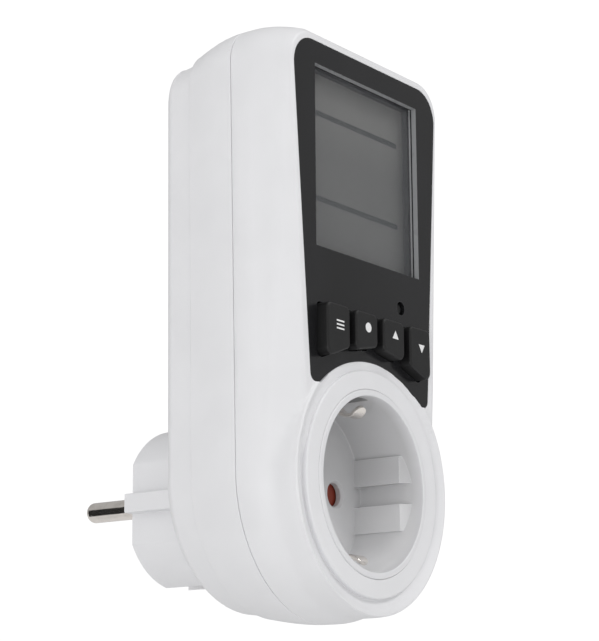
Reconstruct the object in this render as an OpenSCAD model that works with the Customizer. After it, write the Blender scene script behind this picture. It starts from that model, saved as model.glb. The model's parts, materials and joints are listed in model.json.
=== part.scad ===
/* [Plug] */
// Distance between the centres of the two mains pins
pin_spacing = 19; // [18:0.1:20]
// Diameter of a mains pin
pin_d = 4.8; // [4:0.1:5]
// Length of a mains pin in front of the plug face
pin_len = 19; // [17:0.5:20]
// Radius of the round plug body
plug_r = 18.8; // [18:0.1:19.5]
// Length of the plug body between its face and the housing
plug_len = 19; // [18:0.5:22]
// Distance from the plug axis to the flat on each side
plug_flat_x = 16.4; // [15.5:0.1:17]
// Distance from the plug axis to the top of each guide rib
plug_rib_x = 19.2; // [18.5:0.1:19.6]
// Height of each guide rib
plug_rib_h = 4.4; // [4:0.1:5]

/* [Housing] */
// Half width of the housing at the top of the seam
seam_half = 33.2; // [32:0.1:35]
// Height of the housing's top above the plug axis, at the seam
seam_top = 102.7; // [101:0.1:105]
// Radius of the round lower end at the seam
seam_low_r = 31.35; // [31:0.05:32]
// Half width of the front face at its top
front_half = 29.5; // [29:0.1:31]
// Half width that the front face's sides taper to at the socket's centre
front_low = 23.9; // [23:0.1:26]
// Thickness of the housing wall
wall = 2.2; // [1.8:0.1:2.4]
// Distance from the plug face to the seam between the covers
seam_dist = 41.75; // [41:0.05:43]
// Distance from the plug face to the front face
front_dist = 55.5; // [55:0.1:57]

/* [Socket] */
// Height of the socket axis above the plug axis
socket_z = 1.7; // [0:0.1:3]
// Radius of the socket recess
recess_r = 19.5; // [19.3:0.1:19.8]
// Depth of the socket recess below its rim
recess_depth = 17.5; // [17.5:0.1:18]
// Radius of the raised rim around the recess
rim_r = 21; // [20.8:0.1:21.5]
// Radius of each pin hole in the recess floor
pin_hole_r = 2.75; // [2.6:0.05:3]
// Angle that the safety shutter turns through
shutter_turn = 40; // [36:1:44]

/* [Front panel] */
// Half width of the black panel at its top
panel_half_top = 28.6; // [27:0.1:28.8]
// Half width of the black panel at its lower tips
panel_half_low = 23; // [22:0.1:25]
// Height of the panel's top edge above the plug axis
panel_top = 99; // [98:0.1:99.5]
// Width of the display opening
window_w = 41; // [38:0.5:42]
// Height of the display opening
window_h = 41.8; // [38:0.1:43]
// Height of the display opening's lower edge
window_z = 52; // [50:0.5:54]

/* [Keys] */
// Width of each key
key_w = 8.4; // [7.5:0.1:8.8]
// Distance between the centres of neighbouring keys
key_pitch = 10.8; // [10.5:0.1:11]
// How far the keys stand out of the panel
key_proud = 2.9; // [1:0.1:3]
// Height of the keys' upper edge above the plug axis
key_top = 39.2; // [38:0.1:40]

/* [Hidden] */
$fn = 40;
gap = 0.3;
fit = 0.05;
strip_t = 0.8;

pin_x = pin_spacing / 2;
pin_r = pin_d / 2;
shank_r = 2;
housing_y = -plug_len;
rear_in_y = housing_y - wall;
step_y = -28.1;
seam_y = -seam_dist;
front_y = -front_dist;
face_in_y = front_y + 3.1;
rim_y = front_y - 0.9;
disc_y = front_y - 0.4;
ring_in_y = face_in_y - 0.35;
floor_y = rim_y + recess_depth;
floor_back_y = floor_y + 1.8;
panel_y = front_y - 0.2;
panel_t = 1.6;
panel_back_y = panel_y + panel_t;
window_t = 1;
window_back_y = panel_back_y + window_t;
arch_r = 27.2;
tip_z = 21.4;

lcd_y = face_in_y + 0.8;
lcd_t = 2.2;
board_t = 1.6;
disp_board_y = -47.9;
disp_board_back_y = disp_board_y + board_t;
main_board_y = -24.6;
main_board_z0 = 31.5;
main_board_z1 = 82;

carrier_y = -33.4;
carrier_back_y = -25;
bridge_y = -24.8;
clip_z = 20.9;
earth_z = 16.3;
channel_x = 4;
channel_end_y = -14.3;
guide_x = 16.9;
groove_half = 2.4;
guide_half = 8.6;

case_screw_low = [22.5, 22.5];
case_screw_high = [22.5, 88];
display_screw_x = 23.6;
display_screw_zs = [29.5, 45];
carrier_screw_x = 16.2;
small_screw_r = 1;
screw_r = 1.5;
head_r = 2.75;
head_seat_y = -28;
post_r = 3.3;
post_y = -36;

key_flange = 0.8;
key_flange_y = face_in_y + gap;
reset_pos = [12.5, 43.6];
reset_hole_r = 1.6;
reset_r = 1.25;
dome_top_y = key_flange_y + 1.1;

white = [0.9, 0.9, 0.91];
gloss_black = [0.09, 0.09, 0.1];
matt_black = [0.12, 0.12, 0.12];
dark_grey = [0.3, 0.3, 0.31];
nickel = [0.75, 0.73, 0.7];
brass = [0.8, 0.65, 0.3];
copper = [0.72, 0.45, 0.3];
board_green = [0.1, 0.35, 0.2];
steel = [0.6, 0.6, 0.62];

// ---------- Outlines ----------

// Points of an arc about a centre, both ends included
function arc(c, r, a0, a1, n) =
    [for (i = [0:n]) c + r * [cos(a0 + (a1 - a0) * i / n), sin(a0 + (a1 - a0) * i / n)]];

// Points mirrored to the other side of the vertical axis, in reverse order
function mirrored(pts) = [for (i = [len(pts) - 1:-1:0]) [-pts[i].x, pts[i].y]];

// Housing section: a round lower end joined by tangent sides to two top corners
function housing_outline(half, top, corner, low_r, low_z) =
    let (c = [half - corner, top - corner],
         d = c - [0, low_z],
         side = atan2(d.y, d.x) - acos((low_r - corner) / norm(d)),
         right = concat(arc([0, low_z], low_r, -90, side, 14), arc(c, corner, side, 90, 7)))
    concat(right, mirrored(right));

// Corner of a polygon replaced by an arc
function round_corner(a, b, c, r, n) =
    let (u = (a - b) / norm(a - b),
         v = (c - b) / norm(c - b),
         h = acos(u * v) / 2,
         m = b + (u + v) / norm(u + v) * r / sin(h),
         p = b + u * r / tan(h) - m,
         q = b + v * r / tan(h) - m,
         a0 = atan2(p.y, p.x),
         turn = atan2(p.x * q.y - p.y * q.x, p * q))
    arc(m, r, a0, a0 + turn, n);

// Polygon with each corner rounded by its own radius; zero leaves a corner as it is
function rounded(pts, radii, n = 6) =
    let (k = len(pts))
    [for (i = [0:k - 1])
        each radii[i] == 0 ? [pts[i]]
            : round_corner(pts[(i + k - 1) % k], pts[i], pts[(i + 1) % k], radii[i], n)];

// Section of a strip of even thickness bent along a path
function strip(path, t) =
    let (k = len(path),
         dirs = [for (i = [0:k - 2]) (path[i + 1] - path[i]) / norm(path[i + 1] - path[i])],
         mean = [for (i = [0:k - 1]) dirs[max(i - 1, 0)] + dirs[min(i, k - 2)]],
         side = [for (m = mean) [-m.y, m.x] / norm(m) * t / 2])
    concat([for (i = [0:k - 1]) path[i] + side[i]], [for (i = [k - 1:-1:0]) path[i] - side[i]]);

// Half width, top, corner radius and lower radius of each housing section
low_z = 2.9;
function rear_section(y) = y > -22
    ? let (s = (housing_y - y) / 3)
      [27.3 + 2 * sin(90 * s), 97.3 + 1.5 * sin(90 * s), 7.5, 26.4 + 1.9 * sin(90 * s)]
    : let (s = (-22 - y) / 6.1)
      [29.3 + 0.7 * s, 98.8 + 0.7 * s, 8, 28.3 + 0.7 * s];
function middle_section(y) =
    let (s = (step_y - y) / (step_y - seam_y), bow = sin(90 * s))
    [30.9 + (seam_half - 30.9) * bow, 100.4 + (seam_top - 100.4) * bow, 8.4 + 0.6 * bow,
     29.7 + (seam_low_r - 29.7) * bow];
function front_section(y) =
    let (s = max(0, (-44.5 - y) / (-44.5 - front_y)), bow = s * s)
    [seam_half - (seam_half - front_half) * bow, seam_top - 1.8 * bow, 9 - 1.4 * bow,
     seam_low_r - (seam_low_r - front_low) * bow];

function section_points(v, inset) =
    housing_outline(v[0] - inset, v[1] - inset, v[2] - inset * 0.6, v[3] - inset, low_z);

// A flat shape in the X-Z plane, given thickness from y0 to y1
module slab(y0, y1) {
    translate([0, y1, 0])
        rotate([90, 0, 0])
            linear_extrude(y1 - y0)
                children();
}

// A flat shape in the Y-Z plane, given width from x0 to x1
module side_slab(x0, x1) {
    translate([x0, 0, 0])
        rotate([90, 0, 90])
            linear_extrude(x1 - x0)
                children();
}

// Box given by its lowest and highest corners
module box(lo, hi) {
    translate(lo)
        cube(hi - lo);
}

// Round bar along Y
module bar(x, z, r, y0, y1) {
    translate([x, y1, z])
        rotate([90, 0, 0])
            cylinder(r = r, h = y1 - y0);
}

// Solid turned about a Y axis at the socket's height; points are radius and y
module turned(pts) {
    translate([0, 0, socket_z])
        rotate([-90, 0, 0])
            rotate_extrude($fn = 72)
                polygon(pts);
}

// Thin slice of the housing used as one station of a smooth shell
module station(v, y, inset) {
    slab(y, y + 0.01)
        polygon(section_points(v, inset));
}

module at_case_screws() {
    for (p = [case_screw_low, case_screw_high])
        for (side = [-1, 1])
            translate([side * p.x, 0, p.y])
                children();
}

// Cross-head screw along Y, head at the rear, its seat at y
module screw(y, r, hr, hh, len) {
    difference() {
        union() {
            bar(0, 0, hr, y, y + hh);
            bar(0, 0, r, y - len, y + 0.01);
        }
        for (turn = [0, 90])
            rotate([0, turn, 0])
                box([-hr * 0.6, y + hh * 0.4, -hr * 0.12], [hr * 0.6, y + hh + 1, hr * 0.12]);
    }
}

// Wire of round section along a path of Y-Z points in the plane at x
module wire(x, path, r) {
    k = len(path);
    sides = 12;
    dirs = [for (i = [0:k - 2]) (path[i + 1] - path[i]) / norm(path[i + 1] - path[i])];
    mean = [for (i = [0:k - 1]) dirs[max(i - 1, 0)] + dirs[min(i, k - 2)]];
    out = [for (m = mean) [-m.y, m.x] / norm(m) * r];
    rings = [for (i = [0:k - 1])
        each [for (j = [0:sides - 1])
            let (a = 360 * j / sides)
            [x + r * sin(a), path[i].x + out[i].x * cos(a), path[i].y + out[i].y * cos(a)]]];
    skin = [for (i = [0:k - 2])
        each [for (j = [0:sides - 1])
            let (a = i * sides + j, b = i * sides + (j + 1) % sides)
            [a, b, b + sides, a + sides]]];
    first = [for (j = [sides - 1:-1:0]) j];
    last = [for (j = [0:sides - 1]) (k - 1) * sides + j];
    polyhedron(rings, concat(skin, [first, last]));
}

// ---------- Housing ----------

// Profile of the bulge round the socket, from the axis to its outer edge
ring_profile = [
    [0, front_y + 0.15], [27.2, front_y + 0.15], [27.7, front_y - 0.25], [28.1, front_y - 0.5],
    [28.6, front_y - 0.65], [28.95, front_y - 0.5], [29.2, front_y], [29.25, front_y + 1],
    [29.25, front_y + 8], [29.1, front_y + 11], [28.7, seam_y - 0.6], [0, seam_y - 0.6]];

// Groove round the raised disc, and the disc between the rim's hole and the groove
disc_r = 25.3;
groove_profile = [
    [disc_r - 0.3, front_y - 1], [disc_r - 0.3, front_y + 0.2], [disc_r + 0.3, front_y + 0.3],
    [26.6, front_y + 0.3], [27.1, front_y + 0.18], [27.3, front_y + 0.02], [27.3, front_y - 1]];
disc_profile = [
    [rim_r + 0.15, disc_y], [disc_r - 0.4, disc_y], [disc_r, disc_y + 0.35],
    [disc_r, front_y + 1.5], [rim_r + 0.15, front_y + 1.5]];

// Smooth shell of the front cover through sections at the given places
module front_loft(places, inset) {
    for (i = [0:len(places) - 2])
        hull() {
            station(front_section(places[i]), places[i], inset);
            station(front_section(places[i + 1]), places[i + 1], inset);
        }
}

module front_shell() {
    front_loft([seam_y - 0.15, -44.5, -47.5, -50, -52.2, -54, front_y], 0);
    turned(ring_profile);
}

module front_hollow() {
    front_loft([seam_y + 1, -44.5, -47.5, -50, face_in_y], wall);
    turned([[0, ring_in_y], [26.2, ring_in_y], [27, ring_in_y + 1.5], [27, ring_in_y + 9],
            [26.6, seam_y + 0.6], [0, seam_y + 0.6]]);
}

// Outline of the black panel: a tapered sheet with an arch cut out over the socket
module panel_shape(inset) {
    tip_w = 4.2;
    tip_corner = 2.2;
    top_corner = 7;
    right = [
        [panel_half_low - tip_w, tip_z + inset],
        [panel_half_low - inset, tip_z + inset],
        [panel_half_top + 0.3 - inset, panel_top - inset]];
    pts = rounded(concat(right, mirrored(right)),
                  [0, tip_corner, top_corner, top_corner, tip_corner, 0], 8);
    difference() {
        polygon(pts);
        translate([0, socket_z])
            circle(r = arch_r + inset, $fn = 94);
    }
}

// Outline of one key, keys counted 0 to 3 from the left
function key_points(i, grow) =
    let (side = i < 2 ? -1 : 1,
         outer = i == 0 || i == 3,
         x = side * (outer ? 1.5 : 0.5) * key_pitch,
         h = key_w / 2 + grow,
         low_in = (outer ? 30 : 31.8) - grow,
         low_out = (outer ? 26.9 : 30.2) - grow,
         pts = [[x - side * h, low_in], [x + side * h, low_out],
                [x + side * h, key_top + grow], [x - side * h, key_top + grow]])
    rounded(pts, [1.2, 1.6, 1.2, 1.2], 6);

module all_keys(grow) {
    for (i = [0:3])
        polygon(key_points(i, grow));
}

module front_cover() {
    rabbet = seam_y - 2.05;
    color(white)
        difference() {
            union() {
                difference() {
                    front_shell();
                    front_hollow();
                    turned(groove_profile);
                    slab(rabbet, seam_y + 1)
                        polygon(section_points(front_section(rabbet), 1.1));
                    slab(front_y - 1, panel_back_y)
                        panel_shape(-0.1);
                    slab(panel_back_y - 1, face_in_y + 1)
                        window_shape(1);
                    slab(front_y - 1, face_in_y + 1)
                        all_keys(gap);
                    bar(reset_pos.x, reset_pos.y, reset_hole_r + 0.1, front_y - 1, face_in_y + 1);
                    bar(0, socket_z, rim_r + 0.1, rim_y - 1, face_in_y + 1, $fn = 72);
                }
                turned(disc_profile);
                for (side = [-1, 1]) {
                    bar(side * case_screw_low.x, case_screw_low.y, post_r, face_in_y - 0.5, post_y);
                    bar(side * case_screw_high.x, case_screw_high.y, post_r, -45.8, post_y);
                    box([side * 27 - 4.3, -45.8, case_screw_high.y - 1.2],
                        [side * 27 + 4.3, seam_y - 2.3, case_screw_high.y + 1.2]);
                    for (z = display_screw_zs)
                        bar(side * display_screw_x, z, 2.4, face_in_y - 0.5, disp_board_y);
                }
            }
            at_case_screws()
                bar(0, 0, screw_r + fit, -46, post_y + 1);
            for (side = [-1, 1])
                for (z = display_screw_zs)
                    bar(side * display_screw_x, z, small_screw_r + fit, face_in_y + 0.5, disp_board_y + 1);
        }
}

module rear_cover() {
    color(white)
        difference() {
            union() {
                difference() {
                    union() {
                        hull()
                            for (y = [housing_y - 0.01, -19.5, -20.3, -21.2, -22, -24.5, step_y])
                                station(rear_section(y), y, 0);
                        hull()
                            for (y = [step_y, -31, -34, -38, seam_y + 0.14])
                                station(middle_section(y), y, 0);
                    }
                    hull()
                        for (y = [rear_in_y, -24.5, -28.6])
                            station(rear_section(y), y, wall);
                    hull()
                        for (y = [-28.5, -34, seam_y - 1])
                            station(middle_section(y), y, wall);
                }
                difference() {
                    slab(seam_y - 1.75, seam_y + 1)
                        polygon(section_points(front_section(seam_y), 1.25));
                    slab(seam_y - 2, seam_y + 2)
                        polygon(section_points(front_section(seam_y), 2.2));
                }
                at_case_screws()
                    bar(0, 0, post_r + 0.8, post_y + 0.1, rear_in_y + 0.1);
                for (p = board_posts)
                    bar(p.x, p.y, 2.6, main_board_y + board_t, rear_in_y + 0.1);
            }
            at_case_screws() {
                bar(0, 0, head_r + 0.35, head_seat_y, housing_y + 1);
                bar(0, 0, screw_r + fit, post_y - 1, head_seat_y + 1);
            }
            for (p = board_posts)
                bar(p.x, p.y, 1.05, main_board_y, rear_in_y - 0.2);
            slab(-24, housing_y + 1)
                plug_section(fit);
        }
}

module case_screws() {
    color(steel)
        at_case_screws()
            screw(head_seat_y, screw_r, head_r, 2, 16);
}

// ---------- Panel and keys ----------

module window_shape(grow) {
    translate([-window_w / 2 - grow, window_z - grow])
        square([window_w + 2 * grow, window_h + 2 * grow]);
}

module front_panel() {
    color(gloss_black)
        difference() {
            slab(panel_y, panel_back_y)
                panel_shape(0);
            slab(panel_y - 1, panel_back_y + 1)
                window_shape(0);
            slab(panel_y - 1, panel_back_y + 1)
                all_keys(gap);
            bar(reset_pos.x, reset_pos.y, reset_hole_r, panel_y - 1, panel_back_y + 1);
        }
}

module display_window() {
    color([0.75, 0.78, 0.8, 0.4])
        slab(panel_back_y, window_back_y)
            window_shape(0.95);
}

module key(i) {
    color(matt_black)
        union() {
            slab(panel_y - key_proud, key_flange_y + 0.01)
                polygon(key_points(i, 0));
            slab(key_flange_y, key_flange_y + 0.8)
                polygon(key_points(i, key_flange));
        }
}

module keypad_mat() {
    color([0.35, 0.35, 0.36])
        union() {
            box([-20.6, disp_board_y - 0.8, 27.6], [20.6, disp_board_y, 41.2]);
            for (i = [0:3])
                translate([(i - 1.5) * key_pitch, disp_board_y - 0.75, 34.6])
                    rotate([90, 0, 0])
                        cylinder(r1 = 3.6, r2 = 2.6, h = dome_top_y * -1 + disp_board_y - 0.75, $fn = 32);
        }
}

module reset_button() {
    color(matt_black)
        union() {
            bar(reset_pos.x, reset_pos.y, reset_r, front_y + 0.5, key_flange_y + 0.8);
            bar(reset_pos.x, reset_pos.y, reset_r + 0.8, key_flange_y, key_flange_y + 0.8);
        }
}

module reset_plunger() {
    color(matt_black)
        bar(reset_pos.x, reset_pos.y, 0.9, key_flange_y + 0.8, disp_board_y - 0.8);
}

module reset_switch() {
    color(steel)
        difference() {
            box([reset_pos.x - 2.2, disp_board_y - 1.6, reset_pos.y - 2.2],
                [reset_pos.x + 2.2, disp_board_y, reset_pos.y + 2.2]);
            bar(reset_pos.x, reset_pos.y, 1, disp_board_y - 2, disp_board_y - 0.4);
        }
}

// ---------- Display ----------

module lcd_frame() {
    color(dark_grey)
        difference() {
            union() {
                box([-25.2, face_in_y + 0.05, 48.5], [25.2, disp_board_y, 97.8]);
                slab(window_back_y + 0.05, face_in_y + 0.1)
                    window_shape(0.9);
            }
            box([-23.6, lcd_y, 49.7], [23.6, disp_board_y + 1, 96.4]);
            slab(window_back_y - 1, lcd_y + 1)
                window_shape(0);
        }
}

module lcd_glass() {
    color([0.42, 0.43, 0.43])
        box([-23.5, lcd_y, 49.8], [23.5, lcd_y + lcd_t, 96.3]);
}

module lcd_reflector() {
    color([0.6, 0.62, 0.6])
        box([-22, lcd_y + lcd_t, 55], [22, lcd_y + lcd_t + 0.3, 91.5]);
}

module elastomer_strips() {
    color([0.8, 0.5, 0.5])
        for (z = [51.5, 93.5])
            box([-21, lcd_y + lcd_t, z], [21, disp_board_y, z + 1.6]);
}

module display_board() {
    color(board_green)
        difference() {
            box([-26.5, disp_board_y, 27.3], [26.5, disp_board_back_y, 98]);
            for (side = [-1, 1])
                for (z = display_screw_zs)
                    bar(side * display_screw_x, z, 1.25, disp_board_y - 1, disp_board_back_y + 1);
        }
}

module display_board_screws() {
    color(steel)
        for (side = [-1, 1])
            for (z = display_screw_zs)
                translate([side * display_screw_x, 0, z])
                    screw(disp_board_back_y, small_screw_r, 2, 1.3, 5);
}

module controller_chip() {
    color(matt_black)
        union() {
            box([-7, disp_board_back_y, 52], [7, disp_board_back_y + 0.3, 66]);
            bar(0, 59, 5, disp_board_back_y + 0.3, disp_board_back_y + 1);
        }
}

module display_crystal() {
    color(steel)
        translate([-12, disp_board_back_y + 1, 50])
            cylinder(r = 1, h = 6);
}

// ---------- Socket ----------

module guide_block(z0, z1) {
    translate([0, 0, z0])
        linear_extrude(z1 - z0)
            polygon([[guide_x, floor_y + 0.1], [guide_x, front_y + 4.2],
                     [recess_r + 0.6, front_y + 2], [recess_r + 0.6, floor_y + 0.1]]);
}

module socket_insert() {
    color(white)
        difference() {
            union() {
                turned([[0, floor_y], [recess_r, floor_y], [recess_r, rim_y + 0.3],
                        [recess_r + 0.3, rim_y], [rim_r - 0.4, rim_y], [rim_r, rim_y + 0.4],
                        [rim_r, face_in_y + 0.1], [25, face_in_y + 0.1], [25, face_in_y + 1.6],
                        [rim_r, face_in_y + 1.6], [rim_r, carrier_y], [18, carrier_y],
                        [18, floor_back_y], [0, floor_back_y]]);
                for (turn = [0, 180])
                    translate([0, 0, socket_z])
                        rotate([0, turn, 0]) {
                            guide_block(groove_half, guide_half);
                            guide_block(-guide_half, -groove_half);
                            bar(carrier_screw_x, 0, 1.75, floor_back_y - 0.1, carrier_y);
                            box([-4.3, face_in_y + 1.5, 19.9], [4.3, carrier_y, 23.4]);
                        }
            }
            for (side = [-1, 1]) {
                bar(side * pin_x, socket_z, pin_hole_r, floor_y - 1, floor_back_y + 1);
                bar(side * carrier_screw_x, socket_z, small_screw_r + fit, carrier_y - 2.6, carrier_y + 1);
                translate([0, 0, socket_z])
                    rotate([0, side * 90 - 90, 0])
                        box([-2.5, front_y + 2.6, 16.2], [2.5, carrier_y + 1, 22.2]);
            }
            bar(0, socket_z, 2 + fit, floor_y - 1, floor_back_y + 1);
        }
}

shutter_y = floor_back_y + 0.4;
shutter_t = 2.2;
shutter_hub_r = 4;
shutter_tip_r = 12.9;
wing_from = 14;
wing_to = wing_from + 4 - shutter_turn;

module shutter() {
    color([0.5, 0.16, 0.12])
        translate([0, 0, socket_z])
            difference() {
                union() {
                    bar(0, 0, shutter_hub_r, shutter_y, shutter_y + shutter_t);
                    for (turn = [0, 180])
                        rotate([0, turn, 0])
                            slab(shutter_y, shutter_y + shutter_t)
                                polygon(concat([[2.6, -2.6], [2.6, 2.6]],
                                               arc([0, 0], shutter_tip_r, wing_from, wing_to, 12)));
                }
                bar(0, 0, 2 + fit, shutter_y - 1, shutter_y + shutter_t + 1);
            }
}

module shutter_pivot() {
    color(white)
        union() {
            bar(0, socket_z, 2, floor_y - 0.01, -30.1);
            bar(0, socket_z, 2.9, floor_y - 0.3, floor_y);
        }
}

module shutter_spring() {
    color(steel)
        translate([0, 0, socket_z]) {
            rotate([90, 0, 0])
                translate([0, 0, -shutter_y - shutter_t - 0.4])
                    rotate_extrude()
                        translate([3, 0])
                            circle(r = 0.25, $fn = 16);
            translate([0, shutter_y + shutter_t + 0.4, 2.9])
                rotate([0, 90, 0])
                    cylinder(r = 0.25, h = 8, $fn = 16);
        }
}

module contact_carrier() {
    color(white)
        difference() {
            box([-19, carrier_y, socket_z - 8.5], [19, carrier_back_y, socket_z + 8.5]);
            for (side = [-1, 1]) {
                bar(side * pin_x, socket_z, 3.5, carrier_y - 1, carrier_back_y + 1);
                box([side * pin_x - 3.4, carrier_y - 1, socket_z - 4.8],
                    [side * pin_x + 3.4, carrier_back_y + 1, socket_z]);
                bar(side * carrier_screw_x, socket_z, 1.25, carrier_y - 1, carrier_back_y + 1);
            }
            bar(0, socket_z, 2 + fit, carrier_y - 1, -30);
        }
}

module carrier_screws() {
    color(steel)
        for (side = [-1, 1])
            translate([side * carrier_screw_x, 0, socket_z])
                screw(carrier_back_y, small_screw_r, 2, 1.3, 10.4);
}

// Split sleeve that grips one pin of the plug in the socket
module contact_sleeve(x) {
    color(brass)
        translate([x, 0, socket_z])
            difference() {
                bar(0, 0, 3.3, carrier_y + 0.3, carrier_back_y - 0.2);
                bar(0, 0, 2.5, carrier_y - 1, carrier_back_y + 1);
                box([-0.5, carrier_y - 1, 0], [0.5, carrier_back_y - 2.5, 5]);
            }
}

clip_path = [
    [bridge_y, clip_z], [-42.5, clip_z], [-44.5, 19.8], [-47.3, 17], [-49.3, 15.95],
    [-50.8, 15.7], [-51.9, 16.1], [-53.4, 17.6]];

// Spring strip that touches the side of a plug in the socket
module earth_clip() {
    color(nickel)
        translate([0, 0, socket_z])
            side_slab(-2, 2)
                polygon(strip(clip_path, strip_t));
}

module upper_earth_clip() {
    earth_clip();
}

module lower_earth_clip() {
    translate([0, 0, socket_z])
        rotate([0, 180, 0])
            translate([0, 0, -socket_z])
                earth_clip();
}

module earth_bridge() {
    color(nickel)
        slab(bridge_y, bridge_y + strip_t)
            translate([-3, socket_z - clip_z - 0.4])
                square([6, 2 * clip_z + 0.8]);
}

// ---------- Plug ----------

module plug_section(grow) {
    intersection() {
        circle(r = plug_r + grow, $fn = 96);
        square([2 * (plug_flat_x + grow), 2 * (plug_r + grow + 1)], center = true);
    }
    square([2 * (plug_rib_x + grow), plug_rib_h + 2 * grow], center = true);
}

module plug_body() {
    flange_y = rear_in_y - 1.2;
    color(white)
        difference() {
            union() {
                slab(flange_y, 0)
                    plug_section(0);
                slab(flange_y, rear_in_y)
                    circle(r = 20.6, $fn = 96);
            }
            bar(0, 0, 13.8, flange_y - 1, -4);
            for (side = [-1, 1])
                bar(side * pin_x, 0, shank_r + fit, -5, 1);
            for (turn = [0, 180])
                rotate([0, turn, 0]) {
                    box([-channel_x, channel_end_y, earth_z - strip_t], [channel_x, 1, plug_r + 1]);
                    box([-2.6, flange_y - 1, earth_z - strip_t - fit],
                        [2.6, channel_end_y + 1, earth_z + fit]);
                }
        }
}

// Round-ended pin with a shank inside the plug
module mains_pin(x) {
    color(nickel)
        translate([x, 0, 0])
            rotate([-90, 0, 0])
                rotate_extrude($fn = 48)
                    polygon(concat([[0, -10], [shank_r, -10], [shank_r, 0], [pin_r, 0]],
                                   arc([pin_r - 1.6, pin_len - 1.6], 1.6, 0, 90, 8),
                                   [[0, pin_len]]));
}

module plug_earth() {
    color(nickel)
        side_slab(-2.5, 2.5)
            polygon(strip([[bridge_y + strip_t, earth_z - strip_t / 2],
                           [-3.4, earth_z - strip_t / 2], [-2.4, earth_z - strip_t / 2]], strip_t));
}

module upper_plug_earth() {
    plug_earth();
}

module lower_plug_earth() {
    rotate([0, 180, 0])
        plug_earth();
}

// Flat link from a pin's shank to the contact behind the socket
link_z = -shank_r - strip_t / 2;
link_path = [[-7, link_z], [-20, link_z], [-24, socket_z - 3.3 - strip_t / 2],
             [-32, socket_z - 3.3 - strip_t / 2]];

module contact_link(x) {
    side_slab(x - 3, x + 3)
        polygon(strip(link_path, strip_t));
}

module mains_wire(x) {
    wire(x, [[-23.6, -1.1], [-23.6, 22], [-24.4, 25.6], [-25.6, 29.4], [-25.6, 35]], 0.8);
}

// ---------- Main board ----------

board_posts = [[-20, 35], [20, 35], [0, 79]];

module main_board() {
    color(board_green)
        difference() {
            box([-23.5, main_board_y, main_board_z0],
                [23.5, main_board_y + board_t, main_board_z1]);
            for (p = board_posts)
                bar(p.x, p.y, 1.25, main_board_y - 1, main_board_y + board_t + 1);
        }
}

module main_board_screws() {
    color(steel)
        for (p = board_posts)
            translate([p.x, 0, p.y])
                mirror([0, 1, 0])
                    screw(-main_board_y, 1, 2, 1.3, 3);
}

module fuse() {
    color([0.75, 0.75, 0.72])
        translate([-10, main_board_y - 2.6, 40])
            rotate([0, 90, 0])
                cylinder(r = 2.6, h = 20);
}

module varistor() {
    color([0.15, 0.3, 0.6])
        translate([14, main_board_y - 6.5, 50])
            cylinder(r = 5, h = 4);
}

module suppression_capacitor() {
    color([0.8, 0.65, 0.15])
        box([-21, main_board_y - 14, 45], [-3, main_board_y - 0.01, 53]);
}

module dropper_capacitor() {
    color([0.6, 0.12, 0.1])
        box([-21, main_board_y - 12, 56], [-3, main_board_y - 0.01, 63]);
}

module smoothing_capacitor() {
    color([0.1, 0.12, 0.3])
        bar(3, 59, 4, main_board_y - 12, main_board_y);
}

module rectifier_diodes() {
    color(matt_black)
        for (z = [58, 61, 64, 67])
            translate([11, main_board_y - 1.2, z])
                rotate([0, 90, 0])
                    cylinder(r = 1.2, h = 5);
}

module metering_chip() {
    color(matt_black)
        box([-3, main_board_y - 1.7, 67], [7, main_board_y - 0.01, 71.5]);
}

module backup_battery() {
    color([0.2, 0.5, 0.25])
        translate([-21, main_board_y - 5.8, 72])
            rotate([0, 90, 0])
                cylinder(r = 5.8, h = 16);
}

header_x = 13;
header_main_z = 77.5;
header_disp_z = 74;

module board_headers() {
    color([0.92, 0.9, 0.84]) {
        box([header_x - 6.5, main_board_y - 4, header_main_z - 2],
            [header_x + 6.5, main_board_y, header_main_z + 2]);
        box([header_x - 6.5, disp_board_back_y, header_disp_z - 2],
            [header_x + 6.5, disp_board_back_y + 4, header_disp_z + 2]);
    }
}

module ribbon_cable() {
    from_y = main_board_y - 4;
    to_y = disp_board_back_y + 4;
    steps = 12;
    lead = 0.8;
    bend = [for (i = [0:steps])
        let (s = i / steps)
        [from_y - lead + (to_y - from_y + 2 * lead) * s,
         header_main_z + (header_disp_z - header_main_z) * s + 2.5 * sin(180 * s)]];
    path = concat([[from_y, header_main_z]], bend, [[to_y, header_disp_z]]);
    color([0.6, 0.6, 0.62])
        side_slab(header_x - 5, header_x + 5)
            polygon(strip(path, 0.9));
}

module insulating_sheet() {
    color([0.85, 0.85, 0.7])
        difference() {
            box([-18.5, disp_board_back_y + 1.4, 30], [18.5, disp_board_back_y + 1.8, 95]);
            box([header_x - 8, disp_board_back_y, header_disp_z - 3.5],
                [19, disp_board_back_y + 3, header_disp_z + 3.5]);
            box([-13.6, disp_board_back_y, 49], [-10.4, disp_board_back_y + 3, 57]);
        }
}

// ---------- Nodes ----------

front_cover();
rear_cover();
front_panel();
display_window();
lcd_frame();
lcd_glass();
lcd_reflector();
elastomer_strips();
display_board();
controller_chip();
display_crystal();
display_board_screws();
key(0);  // function_key
key(1);  // cost_key
key(2);  // up_key
key(3);  // down_key
keypad_mat();
reset_button();
reset_plunger();
reset_switch();
socket_insert();
shutter();
shutter_pivot();
shutter_spring();
contact_carrier();
carrier_screws();
contact_sleeve(-pin_x);  // live_contact
contact_sleeve(pin_x);  // neutral_contact
upper_earth_clip();
lower_earth_clip();
earth_bridge();
plug_body();
mains_pin(-pin_x);  // live_pin
mains_pin(pin_x);  // neutral_pin
upper_plug_earth();
lower_plug_earth();
color(copper) contact_link(-pin_x);  // current_shunt
color(brass) contact_link(pin_x);  // neutral_busbar
color([0.5, 0.25, 0.12]) mains_wire(-8);  // live_wire
color([0.15, 0.3, 0.7]) mains_wire(8);  // neutral_wire
main_board();
main_board_screws();
fuse();
varistor();
suppression_capacitor();
dropper_capacitor();
smoothing_capacitor();
rectifier_diodes();
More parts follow.
